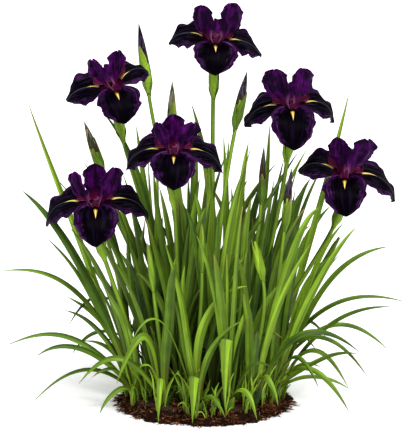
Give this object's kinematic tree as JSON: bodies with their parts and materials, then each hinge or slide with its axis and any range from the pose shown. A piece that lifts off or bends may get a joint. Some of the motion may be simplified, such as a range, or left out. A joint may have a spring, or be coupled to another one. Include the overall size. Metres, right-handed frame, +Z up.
{
  "type": "iris clump in bloom",
  "caption": "Clump of dark purple water iris in bloom: sword leaves, flower stems and buds growing from creeping rhizomes half sunk in a flat-bottomed patch of mulched soil.",
  "frame": {"origin": "centre of the soil patch's flat underside", "axes": "+Z up along the stems; -Y towards the front of the clump; +X to its right seen from the front"},
  "size_m": [0.61, 0.3667, 0.6101],
  "materials": {
    "petal": "matte",
    "style": "matte",
    "leaf": "satin",
    "rhizome": "matte",
    "soil": "matte"
  },
  "bodies": {
    "root": {"bloom_1_petals": "petal", "bloom_1_styles": "style", "bloom_2_petals": "petal", "bloom_2_styles": "style", "bloom_3_petals": "petal", "bloom_3_styles": "style", "bloom_4_petals": "petal", "bloom_4_styles": "style", "bloom_5_petals": "petal", "bloom_5_styles": "style", "bloom_6_petals": "petal", "bloom_6_styles": "style", "bud_01_petals": "petal", "bud_02_petals": "petal", "bud_03_petals": "petal", "bud_04_petals": "petal", "bud_05_petals": "petal", "bud_06_petals": "petal", "shoot_01": "leaf", "shoot_02": "leaf", "shoot_03": "leaf", "shoot_04": "leaf", "shoot_05": "leaf", "shoot_06": "leaf", "shoot_07": "leaf", "shoot_08": "leaf", "shoot_09": "leaf", "shoot_10": "leaf", "shoot_11": "leaf", "shoot_12": "leaf", "shoot_13": "leaf", "shoot_14": "leaf", "shoot_15": "leaf", "shoot_16": "leaf", "shoot_17": "leaf", "shoot_18": "leaf", "shoot_19": "leaf", "shoot_20": "leaf", "shoot_21": "leaf", "rhizome_left": "rhizome", "rhizome_front": "rhizome", "rhizome_right": "rhizome", "rhizome_back_left": "rhizome", "rhizome_middle": "rhizome", "rhizome_back": "rhizome", "rhizome_far_right": "rhizome", "soil_patch": "soil"}
  },
  "joints": []
}
